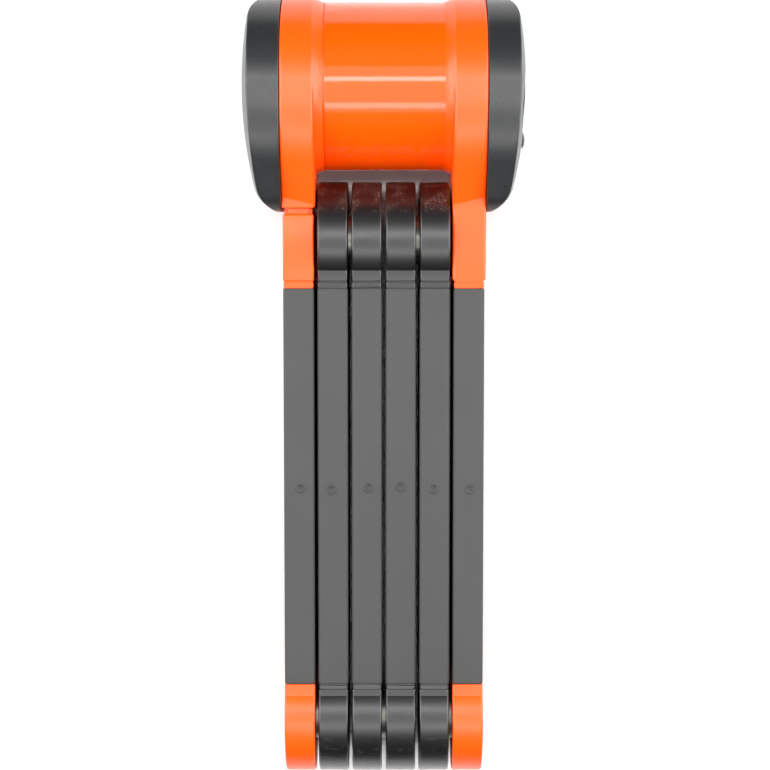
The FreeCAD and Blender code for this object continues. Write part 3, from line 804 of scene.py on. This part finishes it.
def end_band(number, sleeve_y, towards, half_z, name, finish_name):
    """Narrow raised band between two grooves, with uneven moulding flash along its edges."""
    sizes = link_sizes()
    x = link_x(number)
    half_x = half_size("link_%d_sleeve" % number).x
    groove, run = sizes.groove, band_length(towards)
    stations = [(0.0, groove, 0), (groove * 0.6, groove, 0), (groove * 0.9, 0.12 * MM, 1),
                (run - groove * 1.3, 0.12 * MM, 1), (run - groove, groove, 1),
                (run + 0.5 * MM, groove, 0)]
    rings = straight_rings(x, [(sleeve_y + towards * y, inset) for y, inset, _ in stations],
                           half_x, half_z, sizes.cover_edge, 24)
    for ring, (_, _, uneven) in zip(rings, stations):
        for k, point in enumerate(ring):
            wave = math.sin(k * 1.9 + number * 4.1) + math.sin(k * 0.83 + number * 2.3)
            point.y += uneven * sizes.flash * wave * (1 if finish_name == "black" else 0.3)
    mesh = mesh_from(name, lambda work: add_rings(work, rings))
    return piece_from(name, mesh, finish_name, link_body(number))


def make_cover(number, end, finish_name):
    """End cover: holed round disc and the straight length up to the band."""
    sizes = link_sizes()
    node = "link_%d_%s_cover" % (number, end)
    pivot = PIVOT_NEAR if end == "upper" else PIVOT_FAR
    sleeve_y = SLEEVE_HIGH_Y if end == "upper" else SLEEVE_LOW_Y
    towards = 1 if end == "upper" else -1
    x = link_x(number)
    size = half_size(node)
    half_z = half_size("link_%d_sleeve" % number).z
    banded = finish_name == "black"
    start = sleeve_y + towards * (band_length(towards) if banded else 0.05 * MM)
    straight = [(start, 0.3 * MM), (start + towards * 0.12 * MM, 0.1 * MM),
                (start + towards * 0.35 * MM, 0.02 * MM),
                (pivot.y - towards * (sizes.cover_hole + 0.4 * MM), 0.02 * MM)]

    def shape(work):
        add_rings(work, turned_rings(pivot, rounded_disc_profile(
            x, size.x, size.z, sizes.cover_hole, sizes.cover_edge), sizes.segments), closed=True)
        geometry = work.verts[:] + work.edges[:] + work.faces[:]
        cut = bmesh.ops.bisect_plane(work, geom=geometry, plane_co=(0, start, 0),
                                     plane_no=(0, towards, 0), clear_inner=True)
        edges = [e for e in cut["geom_cut"] if isinstance(e, bmesh.types.BMEdge)]
        bmesh.ops.holes_fill(work, edges=edges)
        add_rings(work, straight_rings(x, straight, size.x, half_z, sizes.cover_edge))

    piece = piece_from("%s_shell" % node, mesh_from(node, shape), finish_name,
                       link_body(number), node)
    if banded:
        end_band(number, sleeve_y, towards, half_z, "link_%d_%s_band" % (number, end),
                         finish_name)


class LOCK_OT_black_covers(bpy.types.Operator):
    """Gloss black covers at both ends of links 2 to 5"""
    bl_idname = "lock.black_covers"
    bl_label = "Black end covers"

    def execute(self, context):
        for number in INNER_LINKS:
            for end in ("upper", "lower"):
                make_cover(number, end, "black")
        return {"FINISHED"}


class LOCK_OT_orange_covers(bpy.types.Operator):
    """Orange covers of links 1 and 6, with the plug-in top of link 1"""
    bl_idname = "lock.orange_covers"
    bl_label = "Orange end covers"

    def execute(self, context):
        sizes = link_sizes()
        for number in (1, 6):
            make_cover(number, "lower", "orange")
        node = "link_1_upper_cover"
        x = link_x(1)
        size = half_size(node)
        top = BARREL.y - sizes.link_1_drop
        start = SLEEVE_HIGH_Y + sizes.near_band
        block = [(start, 0.3 * MM), (start + 0.12 * MM, 0.1 * MM), (start + 0.35 * MM, 0.0),
                 (top - 0.6 * MM, 0.0), (top - 0.35 * MM, 0.08 * MM), (top - 0.12 * MM, 0.25 * MM),
                 (top, 0.55 * MM)]
        neck = [(top - 1 * MM, 0.0), (top + sizes.neck_length, 0.0)]
        tongue = [(top - 1 * MM, 0.0), (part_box(node)[1].y, 0.0)]

        def shape(work):
            add_rings(work, straight_rings(x, block, size.x, size.z, sizes.cover_edge))
            add_rings(work, straight_rings(x, neck, sizes.neck_half_x, sizes.neck_half_z,
                                           0.5 * MM))
            add_rings(work, straight_rings(x, tongue, sizes.tongue_half_x, sizes.tongue_half_z,
                                           0.3 * MM))

        mesh = mesh_from("link_1_upper_cover_shell", shape)
        piece = piece_from("link_1_upper_cover_shell", mesh, "orange", "link_1", node)
        end_band(1, SLEEVE_HIGH_Y, 1, size.z, "link_1_upper_band", "orange")
        return {"FINISHED"}


class LOCK_OT_sleeves(bpy.types.Operator):
    """Matt grey sleeves, each with its gate mark"""
    bl_idname = "lock.sleeves"
    bl_label = "Link sleeves"

    def execute(self, context):
        sizes = link_sizes()
        gate_y = SLEEVE_LOW_Y + sizes.gate
        for number in LINKS:
            node = "link_%d_sleeve" % number
            size = half_size(node)
            x = link_x(number)
            ends = ((0.0, 0.35), (0.08, 0.16), (0.3, 0.03), (0.6, 0.0))
            stations = [(SLEEVE_LOW_Y + y * MM, inset * MM) for y, inset in ends]
            run = SLEEVE_HIGH_Y - SLEEVE_LOW_Y
            stations += [(SLEEVE_LOW_Y + run * k / 12, 0.0) for k in range(1, 12)]
            stations += [(SLEEVE_HIGH_Y - y * MM, inset * MM) for y, inset in reversed(ends)]
            rings = straight_rings(x, stations, size.x, size.z, sizes.sleeve_edge)
            name = "link_%d_sleeve_moulding" % number
            mesh = mesh_from(name, lambda work: add_rings(work, rings))
            piece = piece_from(name, mesh, "sleeve", link_body(number), node)
            shift_x = 0.5 * math.sin(number * 2.4) * MM
            shift_y = 0.45 * math.cos(number * 1.7) * MM
            gate = mesh.uv_layers.new(name="gate")
            for loop in mesh.loops:
                p = mesh.vertices[loop.vertex_index].co
                far_side = 40.0 if p.z < BARREL.z else 0.0
                gate.data[loop.index].uv = ((p.x - x - shift_x) / MM + far_side,
                                            (p.y - gate_y - shift_y) / MM)
        return {"FINISHED"}


class LOCK_OT_joint_hardware(bpy.types.Operator):
    """Spacer washers and rivets between neighbouring links"""
    bl_idname = "lock.joint_hardware"
    bl_label = "Rivets and washers"

    def execute(self, context):
        sizes = link_sizes()
        chamfer = sizes.washer_edge
        for number in range(1, 6):
            pair = "%d_%d" % (number, number + 1)
            body = link_body(number + 1)
            washer = "washer_%s" % pair
            low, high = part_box(washer)
            centre, radius = middle(washer), half_size(washer).z
            hole = sizes.washer_hole
            profile = [(low.x, hole), (low.x, radius - chamfer), (low.x + chamfer, radius),
                       (high.x - chamfer, radius), (high.x, radius - chamfer), (high.x, hole)]
            mesh = mesh_from(washer + "_turned", lambda work: add_rings(
                work, turned_rings(centre, profile, sizes.segments), closed=True))
            piece_from(washer + "_turned", mesh, "zinc", body, washer)

            rivet = "rivet_%s" % pair
            low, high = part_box(rivet)
            radius = half_size(rivet).z
            head, dish = sizes.rivet_head, sizes.rivet_dish
            left = [(low.x + dish, 0.3 * MM), (low.x + dish, radius * 0.45),
                    (low.x, radius * 0.55), (low.x, radius - 0.5 * MM),
                    (low.x + 0.15 * MM, radius - 0.15 * MM), (low.x + 0.5 * MM, radius),
                    (low.x + head, radius), (low.x + head, sizes.rivet_shank)]
            right = [(low.x + high.x - x, r) for x, r in reversed(left)]
            mesh = mesh_from(rivet + "_turned", lambda work: add_rings(
                work, turned_rings(centre, left + right, sizes.segments)))
            piece_from(rivet + "_turned", mesh, "zinc", body, rivet)
        return {"FINISHED"}


def dress(node, finish_name):
    """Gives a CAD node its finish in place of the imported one."""
    mesh = NODES[node].data
    mesh.materials.clear()
    mesh.materials.append(finish(finish_name))


class LOCK_OT_steelwork(bpy.types.Operator):
    """Finishes of the bars, the steel core and the lock cylinder inside"""
    bl_idname = "lock.steelwork"
    bl_label = "Steel and brass inside"

    def execute(self, context):
        for number in LINKS:
            dress("link_%d_bar" % number, "steel")
        for node in ("lock_core", "socket_block", "locking_shaft", "drive_bar", "rotor_tail",
                     "sidebar", "link_6_anchor_pin", "cylinder_retaining_pin"):
            dress(node, "steel")
        for node in ["cylinder_body", "key_rotor"] + sorted(
                n for n in NODES if n.startswith("locking_disc")):
            dress(node, "brass")
        return {"FINISHED"}


# ------------------------------------------------------------- studio

def area_light(name, place, aim, size_x, size_y, power):
    data = bpy.data.lights.new(name, "AREA")
    data.shape = "RECTANGLE"
    data.size, data.size_y, data.energy = size_x, size_y, power
    lamp = bpy.data.objects.new(name, data)
    bpy.context.scene.collection.objects.link(lamp)
    lamp.location = place
    lamp.rotation_euler = (Vector(aim) - Vector(place)).to_track_quat("-Z", "Y").to_euler()
    return lamp


class LOCK_OT_studio(bpy.types.Operator):
    """Pale floor, two strip lights, three softboxes, soft surroundings and the camera"""
    bl_idname = "lock.studio"
    bl_label = "Studio and camera"

    def execute(self, context):
        scene = bpy.context.scene
        scene.view_settings.view_transform = "Standard"
        scene.view_settings.look = "None"

        floor_mesh = mesh_from("studio_floor", floor_sheet)
        floor = bpy.data.objects.new("studio_floor", floor_mesh)
        scene.collection.objects.link(floor)
        floor_mesh.materials.append(lit_floor())

        aim = Vector((0, 0, BARREL.z))
        for name, lean, width, power in (("head_strip", 15, 0.058, 1.7),
                                         ("foot_strip", -21, 0.085, 1.2)):
            lean = math.radians(lean)
            distance = 0.62
            place = aim + distance * Vector((0, math.sin(lean), math.cos(lean)))
            area_light(name, place, aim, 1.0, width, power)
        for name, side in (("left_softbox", -1), ("right_softbox", 1)):
            area_light(name, Vector((side * 0.6, 0.12, 0.4)), aim, 0.6, 0.5, 6.5)
        area_light("overhead_softbox", Vector((0, -0.03, 0.75)), Vector((0, -0.03, 0)),
                   1.2, 0.88, 5.0)

        world = bpy.data.worlds.new("studio_surroundings")
        scene.world = world
        world.use_nodes = True
        tree = world.node_tree
        tree.nodes.clear()
        way = add_node(tree, "ShaderNodeTexCoord").outputs["Generated"]
        up = add_node(tree, "ShaderNodeSeparateXYZ", links={0: way}).outputs["Z"]
        share = spread(tree, up, 0.45, 0.8, 0.0, 1.0)
        shade = tint(tree, share, (0.06, 0.06, 0.06), (0.3, 0.3, 0.3))
        light = add_node(tree, "ShaderNodeBackground", {"Strength": 1.0}, {"Color": shade})
        add_node(tree, "ShaderNodeOutputWorld", links={"Surface": light.outputs[0]})

        lens = bpy.data.cameras.new("studio_camera")
        lens.lens, lens.sensor_width = 90.7, 36.0
        lens.clip_start, lens.clip_end = 0.01, 20.0
        camera = bpy.data.objects.new("studio_camera", lens)
        scene.collection.objects.link(camera)
        tilt = math.radians(5.0)
        target = Vector((0.34 * MM, 1.26 * MM, BARREL.z))
        camera.location = target + 0.55 * Vector((0, math.sin(tilt), math.cos(tilt)))
        camera.rotation_euler = (-tilt, 0, 0)
        scene.camera = camera
        return {"FINISHED"}


def floor_sheet(work):
    """Large square floor, an even grid of 24 by 24 squares."""
    bmesh.ops.create_grid(work, x_segments=24, y_segments=24, size=3.0)


def lit_floor():
    """White opal acrylic sheet, extruded: matt and even, so it stays white up to the lock."""
    material, tree, surface, place = start_material(
        "white_opal_acrylic_sheet", {"Roughness": 0.9, "IOR": 1.49})
    cloud = noise(tree, place, 300.0, 2.0)
    base = tuple(colours().floor)
    tree.links.new(tint(tree, cloud, base, scaled(base, 0.99)), surface.inputs["Base Color"])
    return material


# ------------------------------------------------------------- add-on

OPERATORS = (
    LOCK_OT_barrel_housing, LOCK_OT_socket_collar, LOCK_OT_end_caps, LOCK_OT_dust_cover,
    LOCK_OT_black_covers, LOCK_OT_orange_covers, LOCK_OT_sleeves, LOCK_OT_joint_hardware,
    LOCK_OT_steelwork, LOCK_OT_studio,
)
SETTINGS = (
    ("lock_barrel_sizes", LockBarrelSizes),
    ("lock_link_sizes", LockLinkSizes),
    ("lock_colours", LockColours),
)


class LOCK_PT_sidebar(bpy.types.Panel):
    """Lists the lock's settings and the steps that build it"""
    bl_idname = "LOCK_PT_sidebar"
    bl_label = "Folding Bicycle Lock"
    bl_space_type = "VIEW_3D"
    bl_region_type = "UI"
    bl_category = "Lock"

    def draw(self, context):
        layout = self.layout
        for operator in OPERATORS:
            layout.operator(operator.bl_idname)
        for name, group in SETTINGS:
            box = layout.box()
            settings = getattr(context.scene, name)
            for key in group.__annotations__:
                box.prop(settings, key)


def register():
    for name, group in SETTINGS:
        bpy.utils.register_class(group)
        setattr(bpy.types.Scene, name, PointerProperty(type=group))
    for cls in (*OPERATORS, LOCK_PT_sidebar):
        bpy.utils.register_class(cls)


def unregister():
    for cls in (LOCK_PT_sidebar, *reversed(OPERATORS)):
        bpy.utils.unregister_class(cls)
    for name, group in reversed(SETTINGS):
        delattr(bpy.types.Scene, name)
        bpy.utils.unregister_class(group)


def main():
    register()
    for operator in OPERATORS:
        group, name = operator.bl_idname.split(".")
        getattr(getattr(bpy.ops, group), name)()


if __name__ == "__main__":
    main()
